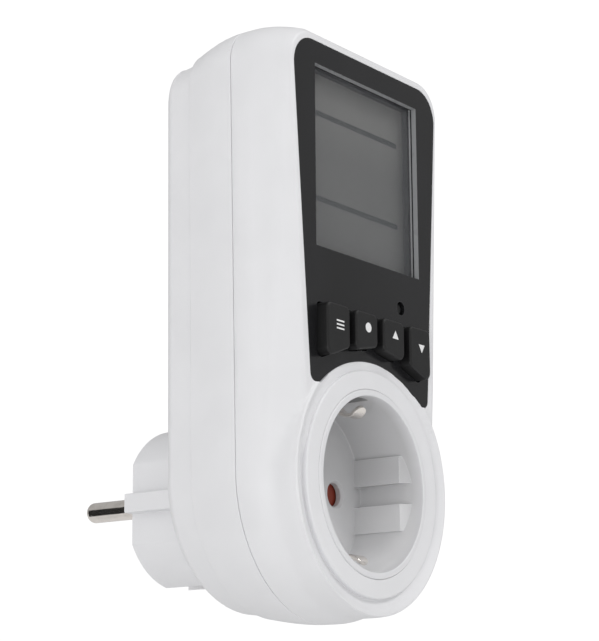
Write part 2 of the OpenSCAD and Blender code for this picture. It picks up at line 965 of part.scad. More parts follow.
metering_chip();
backup_battery();
board_headers();
ribbon_cable();
insulating_sheet();
case_screws();
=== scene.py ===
import json
import math

import bmesh
import bpy
import numpy as np
from mathutils import Matrix, Vector


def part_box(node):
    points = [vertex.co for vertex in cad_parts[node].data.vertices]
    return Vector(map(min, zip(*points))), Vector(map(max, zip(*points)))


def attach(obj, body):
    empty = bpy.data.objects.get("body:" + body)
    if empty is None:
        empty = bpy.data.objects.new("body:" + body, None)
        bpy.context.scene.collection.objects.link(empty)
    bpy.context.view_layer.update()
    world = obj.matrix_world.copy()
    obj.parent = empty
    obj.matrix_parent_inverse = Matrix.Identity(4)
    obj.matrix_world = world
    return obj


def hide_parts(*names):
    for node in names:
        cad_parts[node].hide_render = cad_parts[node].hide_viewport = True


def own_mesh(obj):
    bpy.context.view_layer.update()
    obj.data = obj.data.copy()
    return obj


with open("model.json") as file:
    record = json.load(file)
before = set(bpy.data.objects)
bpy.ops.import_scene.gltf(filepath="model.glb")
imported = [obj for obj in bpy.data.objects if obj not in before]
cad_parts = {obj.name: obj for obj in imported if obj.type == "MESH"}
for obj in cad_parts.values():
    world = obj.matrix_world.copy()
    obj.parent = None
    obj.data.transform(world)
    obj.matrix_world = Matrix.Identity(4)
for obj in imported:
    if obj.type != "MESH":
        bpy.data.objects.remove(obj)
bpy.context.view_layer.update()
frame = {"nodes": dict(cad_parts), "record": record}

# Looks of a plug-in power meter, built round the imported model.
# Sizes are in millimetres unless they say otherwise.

MM = 0.001


# ---------- Places taken from the frame ----------

def span(node, axis):
    """Lowest and highest place of a CAD node along one axis."""
    low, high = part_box(node)
    index = "xyz".index(axis)
    return low[index] / MM, high[index] / MM


def middle(node, axis):
    low, high = span(node, axis)
    return (low + high) / 2


SOCKET_Z = middle("shutter_pivot", "z")
PIN_X = middle("neutral_pin", "x")
PIN_R = (span("neutral_pin", "x")[1] - span("neutral_pin", "x")[0]) / 2
PIN_END_Y = span("neutral_pin", "y")[1]
HOUSING_Y = span("rear_cover", "y")[1]
DISC_Y = span("front_cover", "y")[0]
DISC_RISE = 0.4
FRONT_Y = DISC_Y + DISC_RISE
PANEL_Y, PANEL_BACK_Y = span("front_panel", "y")
PANEL_TOP = span("front_panel", "z")[1]
LCD_Y = span("lcd_glass", "y")[0]
RIM_Y = span("socket_insert", "y")[0]
CARRIER_Y = span("contact_carrier", "y")[0]
KEY_Y, KEY_BACK_Y = span("function_key", "y")

# The meter's own design values. The seam gap and the panel's arch follow the photo closer than the CAD does.
WALL = 2.2
LOW_Z = 2.9
SEAM_Y = -41.75
SEAM_GAP = 0.07
STEP_Y = -28.1
SEAM_HALF = 33.2
SEAM_TOP = 102.7
SEAM_LOW_R = 31.35
SEAM_CHAMFER = 0.12
REAR_TURN_Y = -22.0
REAR_TURN_R = 3.0
FRONT_BOW_Y = -44.5
FRONT_HALF = 29.5
FRONT_LOW_R = 23.9
REAR_IN_Y = HOUSING_Y - WALL
FACE_WALL = 3.1
FACE_IN_Y = FRONT_Y + FACE_WALL
DISC_R = 25.3
RIM_R = 21.0
RECESS_R = 19.5
RECESS_DEPTH = 17.5
FLOOR_Y = RIM_Y + RECESS_DEPTH
FLOOR_BACK_Y = FLOOR_Y + 1.8
PIN_HOLE_R = 2.75
SHANK_R = 2
STRIP_HALF = 0.38
CLIP_R = 20.9
CLIP_BOX_Z = 21.65
CLIP_BOX_HALF = 1.75
CLIP_SLOT_Z = 19.2
CLIP_SLOT_HALF = 3
BOSS_X = 16.2
BOSS_R = 1.75
BOSS_HOLE_R = 1.05
CASE_SCREWS = [(22.5, 22.5), (22.5, 88.0)]
SCREW_HOLE_R = 3.1
POST_R = 3.3
POST_Y = -36.0
ARCH_R = 30.7
ARCH_RISE = 27.2
ARCH_Z = SOCKET_Z + ARCH_RISE - ARCH_R
PANEL_TIP_Z = 21.6
PANEL_HALF_LOW = 23.0
PANEL_HALF_TOP = 28.9
WINDOW_HALF = 20.5
WINDOW_LOW = 52.0
WINDOW_HIGH = 93.8
# Depth of the panel's window wall, which carries a painted reflection
WINDOW_WALL_DEPTH = 1.25
RESET_POS = (12.5, 43.6)
RESET_HOLE_R = 1.6
KEYS = [("function_key", "function_key_body"), ("cost_key", "cost_key_body"),
        ("up_key", "up_key_body"), ("down_key", "down_key_body")]
KEY_W = 8.4
KEY_PITCH = 10.8
KEY_TOP = 39.2
FLANGE_REACH = 0.78
DOME_Z = 34.6
GAP = 0.3


# ---------- Flat outlines, as arrays of points ----------

def arc(centre, r, start, end, steps):
    a = np.radians(np.linspace(start, end, steps + 1))
    return np.c_[centre[0] + r * np.cos(a), centre[1] + r * np.sin(a)]


def between(a, b, count):
    """Evenly spaced points between a and b, without the two ends."""
    s = np.linspace(0, 1, count + 2)[1:-1, None]
    a, b = np.array(a, float), np.array(b, float)
    return a + (b - a) * s


def mirrored(points):
    return (np.array(points) * [-1, 1])[::-1]


def rounded(points, radii, steps=8):
    """A polygon with each corner rounded by its own radius; zero leaves a corner as it is."""
    points = [np.array(p, float) for p in points]
    found = []
    for i, (b, r) in enumerate(zip(points, radii)):
        if r == 0:
            found.append(b[None])
            continue
        a, c = points[i - 1], points[(i + 1) % len(points)]
        u, v = (a - b) / np.linalg.norm(a - b), (c - b) / np.linalg.norm(c - b)
        half = math.acos(max(-1, min(1, u @ v))) / 2
        m = b + (u + v) / np.linalg.norm(u + v) * r / math.sin(half)
        p, q = b + u * r / math.tan(half) - m, b + v * r / math.tan(half) - m
        start = math.degrees(math.atan2(p[1], p[0]))
        turn = math.degrees(math.atan2(p[0] * q[1] - p[1] * q[0], p @ q))
        found.append(arc(m, r, start, start + turn, steps))
    return np.vstack(found)


def smooth_path(points, steps=6):
    """A smooth curve through the points, ends included."""
    p = np.array(points, float)
    p = np.vstack([2 * p[0] - p[1], p, 2 * p[-1] - p[-2]])
    t = np.linspace(0, 1, steps, endpoint=False)[:, None]
    found = []
    for a, b, c, d in zip(p, p[1:], p[2:], p[3:]):
        found.append(0.5 * (2 * b + (c - a) * t + (2 * a - 5 * b + 4 * c - d) * t ** 2
                            + (3 * b - a - 3 * c + d) * t ** 3))
    return np.vstack(found + [p[-2:-1]])


def circle(centre, r, steps=96):
    return arc(centre, r, 0, 360, steps)[:-1]


def rectangle(x0, z0, x1, z1):
    return np.array([[x0, z0], [x1, z0], [x1, z1], [x0, z1]], float)


# ---------- Meshes ----------

def mesh_object(name, verts, faces):
    """A mesh from points in millimetres, with doubled points merged and its faces turned outwards."""
    mesh = bpy.data.meshes.new(name)
    mesh.from_pydata((np.array(verts, float) * MM).tolist(), [], [list(map(int, f)) for f in faces])
    bm = bmesh.new()
    bm.from_mesh(mesh)
    bmesh.ops.remove_doubles(bm, verts=bm.verts, dist=1e-7)
    bmesh.ops.dissolve_degenerate(bm, edges=bm.edges, dist=1e-8)
    bmesh.ops.recalc_face_normals(bm, faces=bm.faces)
    bm.to_mesh(mesh)
    bm.free()
    obj = bpy.data.objects.new(name, mesh)
    bpy.context.scene.collection.objects.link(obj)
    return obj


def skin(name, loops, closed=False, cap_first=False, cap_last=False):
    """Loops of the same number of points, joined one to the next."""
    n = len(loops[0])
    verts = np.vstack(loops)
    faces = []
    last = len(loops) if closed else len(loops) - 1
    for i in range(last):
        a, b = i * n, (i + 1) % len(loops) * n
        for j in range(n):
            k = (j + 1) % n
            faces.append([a + j, a + k, b + k, b + j])
    if cap_first:
        faces.append(list(range(n)))
    if cap_last:
        faces.append(list(range((len(loops) - 1) * n, len(loops) * n)))
    return mesh_object(name, verts, faces)


def lift(outline, y):
    """A flat outline in X and Z, placed at y."""
    return np.c_[outline[:, 0], np.full(len(outline), y), outline[:, 1]]


def prism(name, outline, y0, y1):
    return skin(name, [lift(np.array(outline, float), y) for y in (y0, y1)], cap_first=True, cap_last=True)


def block(name, low, high):
    return prism(name, rectangle(low[0], low[2], high[0], high[2]), low[1], high[1])


def lathe(name, profile, centre=(0.0, 0.0), steps=96):
    """A closed profile of radius and y, turned about an axis along Y through centre."""
    a = np.radians(np.arange(steps) * 360 / steps)
    loops = [np.c_[centre[0] + r * np.cos(a), np.full(steps, y), centre[1] + r * np.sin(a)]
             for r, y in profile]
    return skin(name, loops, closed=True)


def applied(obj):
    """The object with its modifiers made part of its mesh."""
    bpy.context.view_layer.update()
    graph = bpy.context.evaluated_depsgraph_get()
    mesh = bpy.data.meshes.new_from_object(obj.evaluated_get(graph))
    old = obj.data
    obj.modifiers.clear()
    obj.data = mesh
    bpy.data.meshes.remove(old)
    return obj


def combine(obj, tools, operation):
    """Joins each tool to the object, or cuts with it; the tools are used up."""
    for tool in tools:
        modifier = obj.modifiers.new("combine", "BOOLEAN")
        modifier.operation = operation
        modifier.solver = "EXACT"
        modifier.object = tool
        applied(obj)
        bpy.data.objects.remove(tool)
    return obj


def cut(obj, *tools):
    return combine(obj, tools, "DIFFERENCE")


def join(obj, *tools):
    return combine(obj, tools, "UNION")


def soften(obj, width, segments=3, angle=35.0):
    """Rounds every edge that is sharper than the angle."""
    modifier = obj.modifiers.new("edges", "BEVEL")
    modifier.width = width * MM
    modifier.segments = segments
    modifier.limit_method = "ANGLE"
    modifier.angle_limit = math.radians(angle)
    modifier.harden_normals = False
    modifier.miter_outer = "MITER_ARC"
    return applied(obj)


def smooth(obj, angle=32.0):
    """Smooth shading, with edges sharper than the angle left sharp."""
    mesh = obj.data
    mesh.polygons.foreach_set("use_smooth", np.ones(len(mesh.polygons), bool))
    mesh.set_sharp_from_angle(angle=math.radians(angle))
    modifier = obj.modifiers.new("normals", "WEIGHTED_NORMAL")
    modifier.keep_sharp = True
    modifier.weight = 80
    return applied(obj)


def piece(obj, body, slot, nodes=(), angle=32.0):
    """A finished piece: it rides on its body, has its slot's material, and stands for its CAD nodes."""
    smooth(obj, angle)
    if not obj.data.materials:
        obj.data.materials.append(MATERIALS[slot])
    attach(obj, body)
    if nodes:
        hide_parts(*nodes)
    return obj


# ---------- Materials ----------

def linear(grey):
    """Linear value of a display grey from 0 to 255."""
    c = grey / 255
    return c / 12.92 if c <= 0.04045 else ((c + 0.055) / 1.055) ** 2.4


def colour(r, g, b):
    return linear(r), linear(g), linear(b), 1.0


def scaled(rgba, factor):
    return tuple(min(1.0, c * factor) for c in rgba[:3]) + (1.0,)


class Surface:
    """A procedural material on one Principled shader, with nodes added by name."""

    def __init__(self, name):
        self.material = bpy.data.materials.new(name)
        self.material.use_nodes = True
        self.nodes = self.material.node_tree.nodes
        self.links = self.material.node_tree.links
        self.shader = self.nodes["Principled BSDF"]
        self.place = self.nodes.new("ShaderNodeTexCoord").outputs["Object"]

    def set(self, **sockets):
        for name, value in sockets.items():
            self.shader.inputs[name.replace("_", " ")].default_value = value
        return self

    def stretched(self, factors):
        """The place on the object, scaled along each axis."""
        node = self.nodes.new("ShaderNodeMapping")
        node.inputs["Scale"].default_value = factors
        self.links.new(self.place, node.inputs["Vector"])
        return node.outputs["Vector"]

    def noise(self, size, detail=2.0, place=None, roughness=0.5):
        """Noise whose features are about this many millimetres across."""
        node = self.nodes.new("ShaderNodeTexNoise")
        node.inputs["Scale"].default_value = 1 / (size * MM)
        node.inputs["Detail"].default_value = detail
        node.inputs["Roughness"].default_value = roughness
        self.links.new(place or self.place, node.inputs["Vector"])
        return node.outputs["Fac"]

    def ranged(self, value, low, high, to_low, to_high):
        node = self.nodes.new("ShaderNodeMapRange")
        for name, number in zip(("From Min", "From Max", "To Min", "To Max"), (low, high, to_low, to_high)):
            node.inputs[name].default_value = number
        self.links.new(value, node.inputs["Value"])
        return node.outputs["Result"]

    def mixed(self, factor, a, b):
        """Colour between a and b, each a colour or another node's output."""
        node = self.nodes.new("ShaderNodeMix")
        node.data_type = "RGBA"
        self.links.new(factor, node.inputs["Factor"])
        # A mix node of colours takes them at inputs 6 and 7, and gives the result at output 2.
        for socket, value in ((node.inputs[6], a), (node.inputs[7], b)):
            if isinstance(value, tuple):
                socket.default_value = value
            else:
                self.links.new(value, socket)
        return node.outputs[2]

    def bump(self, value, height, strength=1.0):
        """Relief of this many millimetres from a value between 0 and 1, added to any before it."""
        node = self.nodes.new("ShaderNodeBump")
        node.inputs["Strength"].default_value = strength
        node.inputs["Distance"].default_value = height * MM
        self.links.new(value, node.inputs["Height"])
        before = self.shader.inputs["Normal"].links
        if before:
            self.links.new(before[0].from_socket, node.inputs["Normal"])
        self.links.new(node.outputs["Normal"], self.shader.inputs["Normal"])

    def edges(self, radius=0.25, low=0.92, high=0.995):
        """One on sharp edges and zero on flat or gently curved places."""
        rounded_off = self.nodes.new("ShaderNodeBevel")
        rounded_off.samples = 4
        rounded_off.inputs["Radius"].default_value = radius * MM
        true = self.nodes.new("ShaderNodeNewGeometry")
        compare = self.nodes.new("ShaderNodeVectorMath")
        compare.operation = "DOT_PRODUCT"
        self.links.new(rounded_off.outputs["Normal"], compare.inputs[0])
        self.links.new(true.outputs["Normal"], compare.inputs[1])
        return self.ranged(compare.outputs["Value"], low, high, 1.0, 0.0)

    def paint(self, output):
        self.links.new(output, self.shader.inputs["Base Color"])

    def gloss(self, output):
        self.links.new(output, self.shader.inputs["Roughness"])


def moulded(name, base, rough, grain=0.35, depth=0.006, tone=0.015, wear=1.06, **sockets):
    """Moulded plastic: fine eroded grain, uneven sheen, faint tone drift and polished edges."""
    s = Surface(name).set(**sockets)
    drift = s.ranged(s.noise(14.0), 0.35, 0.65, 0.0, 1.0)
    body = s.mixed(drift, scaled(base, 1 - tone), scaled(base, 1 + tone))
    s.paint(s.mixed(s.edges(), body, scaled(base, wear)))
    s.gloss(s.ranged(s.noise(5.0, 4.0), 0.3, 0.7, rough - 0.06, rough + 0.06))
    s.bump(s.noise(grain, 3.0, roughness=0.6), depth)
    return s.material


def metal(name, base, rough, along=1, scratch=0.08, depth=0.003, tarnish=0.2):
    """Worked metal: fine lines along one axis, a little tarnish and brighter edges."""
    s = Surface(name).set(Metallic=1.0)
    factors = [1.0, 1.0, 1.0]
    factors[along] = 0.06
    lines = s.noise(scratch, 4.0, s.stretched(factors), 0.7)
    dull = s.ranged(s.noise(2.2, 4.0), 0.45, 0.7, 0.0, tarnish)
    s.paint(s.mixed(s.edges(), s.mixed(dull, base, scaled(base, 0.45)), scaled(base, 1.15)))
    s.gloss(s.ranged(lines, 0.3, 0.7, rough * 0.7, rough * 1.4))
    s.bump(lines, depth)
    return s.material


def gloss_black():
    """Polished black plastic with a faint ripple and hair lines."""
    s = Surface("gloss_black").set(Specular_IOR_Level=0.4)
    drift = s.ranged(s.noise(20.0), 0.3, 0.7, 0.0, 1.0)
    s.paint(s.mixed(s.edges(), s.mixed(drift, colour(25, 25, 26), colour(30, 30, 32)), colour(60, 60, 63)))
    fine = s.noise(0.25, 4.0, s.stretched((0.05, 1.0, 1.0)))
    s.gloss(s.ranged(fine, 0.3, 0.75, 0.14, 0.24))
    s.bump(s.noise(3.0), 0.008, 0.5)
    return s.material


def socket_plastic():
    """Satin plastic, with painted shade and light inside the recess: past the rim the colour turns into a
    painted gradient, shaded dark at the top of the recess and lit light at its bottom, as if lit from above.
    """
    s = Surface("socket_plastic")
    split = s.nodes.new("ShaderNodeSeparateXYZ")
    s.links.new(s.place, split.inputs["Vector"])
    # Painted shade: how far into the recess, from the rim's own grey to the painted inside colour.
    depth = s.ranged(split.outputs["Y"], (RIM_Y + 0.4) * MM, (RIM_Y + 3) * MM, 0.0, 1.0)
    height = s.ranged(split.outputs["Z"], (SOCKET_Z - RECESS_R) * MM, (SOCKET_Z + 5) * MM, 0.0, 1.0)
    # Painted light and shade: the recess is coloured lighter at its bottom and darker at its top, as if lit
    # from above.
    inside = s.mixed(height, colour(246, 246, 247), colour(200, 200, 201))
    drift = s.ranged(s.noise(9.0), 0.35, 0.65, 0.0, 0.25)
    inside = s.mixed(drift, inside, colour(206, 206, 208))
    s.paint(s.mixed(s.edges(), s.mixed(depth, colour(224, 224, 226), inside), colour(226, 226, 228)))
    s.gloss(s.ranged(s.noise(4.0, 4.0), 0.3, 0.7, 0.3, 0.42))
    s.bump(s.noise(0.3, 3.0, roughness=0.6), 0.004)
    return s.material


def clear_window():
    """Clear pane, seen mostly by its faint reflection."""
    s = Surface("clear_window").set(Alpha=0.12)
    s.paint(s.mixed(s.noise(9.0), colour(120, 124, 128), colour(136, 138, 140)))
    s.gloss(s.ranged(s.noise(4.0, 3.0), 0.3, 0.7, 0.05, 0.12))
    s.bump(s.noise(6.0), 0.004, 0.4)
    s.material.surface_render_method = "BLENDED"
    return s.material


def lcd_surface():
    """Grey display polariser with a very fine dot texture, and painted light that lightens its top against
    the shade of the window's top edge.
    """
    s = Surface("lcd_grey").set(Specular_IOR_Level=0.35)
    drift = s.ranged(s.noise(18.0), 0.3, 0.7, 0.0, 1.0)
    split = s.nodes.new("ShaderNodeSeparateXYZ")
    s.links.new(s.place, split.inputs["Vector"])
    # Painted light: the top of the display is coloured lighter to offset the shadow the recess casts there.
    high = s.ranged(split.outputs["Z"], (WINDOW_HIGH - 18) * MM, WINDOW_HIGH * MM, 0.0, 1.0)
    grey = s.mixed(drift, colour(107, 107, 106), colour(111, 111, 110))
    s.paint(s.mixed(high, grey, colour(130, 129, 127)))
    s.gloss(s.ranged(s.noise(0.5, 3.0), 0.3, 0.7, 0.3, 0.42))
    s.bump(s.noise(0.25, 2.0), 0.0006)
    return s.material


def circuit_board():
    """Green lacquer over copper tracks."""
    s = Surface("circuit_board")
    tracks = s.nodes.new("ShaderNodeTexBrick")
    tracks.inputs["Scale"].default_value = 1 / (9 * MM)
    tracks.inputs["Mortar Size"].default_value = 0.03
    tracks.inputs["Color1"].default_value = colour(22, 84, 52)
    tracks.inputs["Color2"].default_value = colour(26, 96, 58)
    tracks.inputs["Mortar"].default_value = colour(58, 140, 82)
    swapped = s.nodes.new("ShaderNodeMapping")
    swapped.inputs["Rotation"].default_value = (math.radians(90), 0, 0)
    s.links.new(s.place, swapped.inputs["Vector"])
    s.links.new(swapped.outputs["Vector"], tracks.inputs["Vector"])
    s.paint(s.mixed(s.noise(0.8, 2.0), tracks.outputs["Color"], colour(24, 90, 55)))
    s.gloss(s.ranged(s.noise(3.0), 0.3, 0.7, 0.25, 0.4))
    s.bump(tracks.outputs["Fac"], 0.03, 0.6)
    return s.material


MATERIALS = {
    "white_plastic": moulded("white_plastic", colour(229, 229, 231), 0.42),
    "socket_plastic": socket_plastic(),
    "light_plastic": moulded("light_plastic", colour(214, 213, 208), 0.5),
    "dark_plastic": moulded("dark_plastic", colour(84, 84, 86), 0.5),
    "gloss_black": gloss_black(),
    "clear_window": clear_window(),
    "lcd_grey": lcd_surface(),
    "lcd_bar": moulded("lcd_bar", colour(66, 68, 69), 0.36, depth=0.001),
    # Painted reflection: light grey for the window wall of the black panel, standing for the bright
    # surroundings its bevel mirrors.
    "window_wall_reflection": moulded("window_wall_reflection", colour(158, 159, 161), 0.3, depth=0.002),
    "key_print": moulded("key_print", colour(232, 232, 232), 0.5, grain=0.12, depth=0.002),
    "reflector_film": metal("reflector_film", colour(205, 208, 204), 0.3, along=0),
    "pink_rubber": moulded("pink_rubber", colour(205, 150, 145), 0.6, grain=0.2),
    "circuit_board": circuit_board(),
    "black_resin": moulded("black_resin", colour(32, 32, 34), 0.5, grain=0.2),
    "steel": metal("steel", colour(176, 178, 180), 0.28),
    "matt_black": moulded("matt_black", colour(15, 15, 16), 0.55, grain=0.28, depth=0.012, wear=1.8),
    "grey_rubber": moulded("grey_rubber", colour(120, 120, 122), 0.65, grain=0.25),
    "red_plastic": moulded("red_plastic", colour(140, 58, 42), 0.4),
    "brass": metal("brass", colour(214, 178, 104), 0.3),
    "nickel": metal("nickel", colour(244, 238, 232), 0.13, scratch=0.12),
    "copper": metal("copper", colour(205, 132, 96), 0.3),
    "brown_sleeve": moulded("brown_sleeve", colour(112, 66, 40), 0.45),
    "blue_sleeve": moulded("blue_sleeve", colour(52, 92, 168), 0.45),
    "grey_sleeve": moulded("grey_sleeve", colour(150, 150, 152), 0.5),
    "ceramic": moulded("ceramic", colour(212, 208, 196), 0.35, grain=0.5),
    "blue_coating": moulded("blue_coating", colour(46, 84, 150), 0.3, grain=0.9, depth=0.02),
    "yellow_plastic": moulded("yellow_plastic", colour(214, 182, 60), 0.35),
    "red_coating": moulded("red_coating", colour(164, 44, 34), 0.3, grain=0.9, depth=0.02),
    "dark_sleeve": moulded("dark_sleeve", colour(34, 38, 74), 0.35),
    "green_sleeve": moulded("green_sleeve", colour(58, 122, 66), 0.4),
    "insulator": moulded("insulator", colour(222, 220, 190), 0.5, grain=0.6),
}

for part in frame["record"]["subparts"]:
    node_data = frame["nodes"][part["node"]].data
    node_data.materials.clear()
    node_data.materials.append(MATERIALS[part["material_slot"]])


# ---------- Housing sections ----------

# Each section is half width, top, corner radius and lower radius at a place along Y.

def rear_section(y):
    """Back zone: a rounded edge at the rear face, then a slow widening to the step."""
    if y > REAR_TURN_Y:
        s = (HOUSING_Y - y) / REAR_TURN_R
        swell = math.sin(math.radians(90 * min(1, s)))
        return 27.3 + 2 * swell, 97.3 + 1.5 * swell, 7.5, 26.4 + 1.9 * swell
    s = (REAR_TURN_Y - y) / (REAR_TURN_Y - STEP_Y)
    return 29.3 + 0.7 * s, 98.8 + 0.7 * s, 8.0, 28.3 + 0.7 * s


def middle_section(y):
    """Zone between the step and the seam, which bows outwards."""
    bow = math.sin(math.radians(90 * (STEP_Y - y) / (STEP_Y - SEAM_Y)))
    return (30.9 + (SEAM_HALF - 30.9) * bow, 100.4 + (SEAM_TOP - 100.4) * bow,
            8.4 + 0.6 * bow, 29.7 + (SEAM_LOW_R - 29.7) * bow)


def front_section(y):
    """Section of the front cover; y may be an array."""
    bow = np.maximum(0, (FRONT_BOW_Y - y) / (FRONT_BOW_Y - FRONT_Y)) ** 2
    return (SEAM_HALF - (SEAM_HALF - FRONT_HALF) * bow, SEAM_TOP - 1.8 * bow,
            9 - 1.4 * bow, SEAM_LOW_R - (SEAM_LOW_R - FRONT_LOW_R) * bow)


def housing_outline(section, inset=0.0):
    """Round lower end, straight sides and two round top corners."""
    half, top, low_r = section[0] - inset, section[1] - inset, section[3] - inset
    corner = section[2] - 0.6 * inset
    c = np.array([half - corner, top - corner])
    d = c - [0, LOW_Z]
    # The sides touch both arcs, and have more points low down, beside the bulge.
    side = math.degrees(math.atan2(d[1], d[0]) - math.acos((low_r - corner) / np.linalg.norm(d)))
    low = arc((0, LOW_Z), low_r, -90, side, 76)
    high = arc(c, corner, side, 90, 16)
    bend = low[-1] + (high[0] - low[-1]) * 0.33
    right = np.vstack([low, between(low[-1], bend, 80), [bend], between(bend, high[0], 24), high,
                       between(high[-1], (0, top), 5)])
    return np.vstack([right, [[0, top]], mirrored(right[1:])])


# ---------- Front panel's outline, which the cover's pocket shares ----------

def panel_outline(inset):
    """Tapered black panel with an arch cut out over the socket."""
    half_low, half_top, tip_z = PANEL_HALF_LOW - inset, PANEL_HALF_TOP - inset, PANEL_TIP_Z + inset
    top = PANEL_TOP - inset
    arch = ARCH_R + inset
    inner_x = math.sqrt(arch ** 2 - (tip_z - ARCH_Z) ** 2)
    reach = math.degrees(math.asin((tip_z - ARCH_Z) / arch))
    corners = rounded([(half_low, tip_z), (half_top, top), (-half_top, top), (-half_low, tip_z),
                       (-inner_x, tip_z), (inner_x, tip_z)], [2.0, 7, 7, 2.0, 0, 0], 12)
    over = arc((0, ARCH_Z), arch, 180 - reach, reach, 60)
    return np.vstack([corners[:-2], over])


def under_panel(x, z, margin=0.4):
    """Where the panel hides the cover, so the bulge isn't needed there."""
    share = (z - PANEL_TIP_Z) / (PANEL_TOP - PANEL_TIP_Z)
    half = PANEL_HALF_LOW + (PANEL_HALF_TOP - PANEL_HALF_LOW) * share
    over_arch = np.hypot(x, z - ARCH_Z) > ARCH_R + margin
    above_tips = z > PANEL_TIP_Z + 2
    return (np.abs(x) < half - margin) & (z > PANEL_TIP_Z + margin) & (over_arch | above_tips)


# ---------- Front cover ----------

# Bulge round the socket: radius, and distance behind the front face
BULGE = [(0, 0.8), (26.4, 0.8), (26.7, 0.35), (27.0, 0.27), (27.4, 0.05), (27.8, -0.3), (28.2, -0.55),
         (28.6, -0.65), (28.95, -0.5), (29.15, -0.1), (29.25, 0.6), (29.25, 8), (29.1, 11), (28.7, 13.35),
         (0, 13.35)]
# Groove round the disc: the face is sunk as far as the first radius, and level again from the second.
GROOVE_IN = 26.5
GROOVE_OUT = 27.5
GROOVE_DEPTH = 0.32
# Size of the rounding between face and sides
FACE_EDGE = 1.1
# Top of the line from which the cover's points are cast outwards
SPINE_TOP = 75
# Radius outside which the bulge's swell is smoothed, and the width over which that sets in
BLEND_R = 28.4
BLEND_WIDTH = 1.2
# Directions in which a section's outline is measured
ANGLES = np.radians(np.arange(0, 360, 1.5))
NORMALS = np.c_[np.cos(ANGLES), np.sin(ANGLES)]


def bulge_profile():
    """The bulge's profile in radius and y, with its crest smoothed."""
    crest = smooth_path(BULGE[2:-4], 5)
    points = np.vstack([BULGE[:2], crest, BULGE[-4:]])
    return np.c_[points[:, 0], FRONT_Y + points[:, 1]]


BULGE_POINTS = bulge_profile()


def section_distance(x, z, section):
    """Signed distance from points to housing sections, negative inside."""
    half, top, corner, low_r = (np.asarray(v, float)[:, None] for v in section)
    low = NORMALS[:, 1] * LOW_Z + low_r
    high = np.abs(NORMALS[:, 0]) * (half - corner) + NORMALS[:, 1] * (top - corner) + corner
    return (np.outer(x, NORMALS[:, 0]) + np.outer(z, NORMALS[:, 1]) - np.maximum(low, high)).max(axis=1)


def profile_distance(r, y, profile):
    """Signed distance from points to a closed profile, negative inside."""
    best = np.full(len(r), 1e9)
    inside = np.zeros(len(r), bool)
    for a, b in zip(profile, np.roll(profile, -1, axis=0)):
        d = b - a
        t = np.clip(((r - a[0]) * d[0] + (y - a[1]) * d[1]) / max(d @ d, 1e-12), 0, 1)
        best = np.minimum(best, np.hypot(r - a[0] - t * d[0], y - a[1] - t * d[1]))
        crosses = (a[1] > y) != (b[1] > y)
        if crosses.any():
            at = a[0] + (y - a[1]) / (d[1] if d[1] else 1e-12) * d[0]
            inside ^= crosses & (r < at)
    return np.where(inside, -best, best)


def rounded_max(a, b, k):
    """The larger of two, with a soft change over about k where they are nearly equal."""
    h = np.maximum(k - np.abs(a - b), 0) / k
    return np.maximum(a, b) + h * h * k / 4


def face_depth(r):
    """How far the front face lies behind its plane, for the groove round the disc."""
    s = np.clip((GROOVE_OUT - r) / (GROOVE_OUT - GROOVE_IN), 0, 1)
    return GROOVE_DEPTH * s * s * (3 - 2 * s)


def body_field(p, inset=0.0, face_inset=0.0):
    """Negative inside the tapered body of the front cover."""
    r = np.hypot(p[:, 0], p[:, 2] - SOCKET_Z)
    sides = section_distance(p[:, 0], p[:, 2], front_section(p[:, 1])) + inset
    face = FRONT_Y + face_inset + (0 if face_inset else face_depth(r)) - p[:, 1]
    return rounded_max(sides, face, FACE_EDGE)


def bulge_field(p, inset=0.0):
    """Negative inside the turned bulge round the socket."""
    r = np.hypot(p[:, 0], p[:, 2] - SOCKET_Z)
    return profile_distance(r, p[:, 1], BULGE_POINTS) + inset


def ray_hits(field, origins, directions, reach=60.0, passes=20):
    """Distance along each ray to where the field turns positive."""
    near, far = np.zeros(len(origins)), np.full(len(origins), reach)
    for _ in range(passes):
        mid = (near + far) / 2
        inside = field(origins + mid[:, None] * directions) < 0
        near, far = np.where(inside, mid, near), np.where(inside, far, mid)
    return (near + far) / 2


def blurred(values, axis, passes, wrap):
    """Values smoothed along an axis, either round and round or with still ends."""
    for _ in range(passes):
        if wrap:
            a, b = np.roll(values, 1, axis), np.roll(values, -1, axis)
        else:
            a = np.concatenate([values[:, :1], values[:, :-1]], axis=1)
            b = np.concatenate([values[:, 1:], values[:, -1:]], axis=1)
        values = (a + 2 * values + b) / 4
    return values


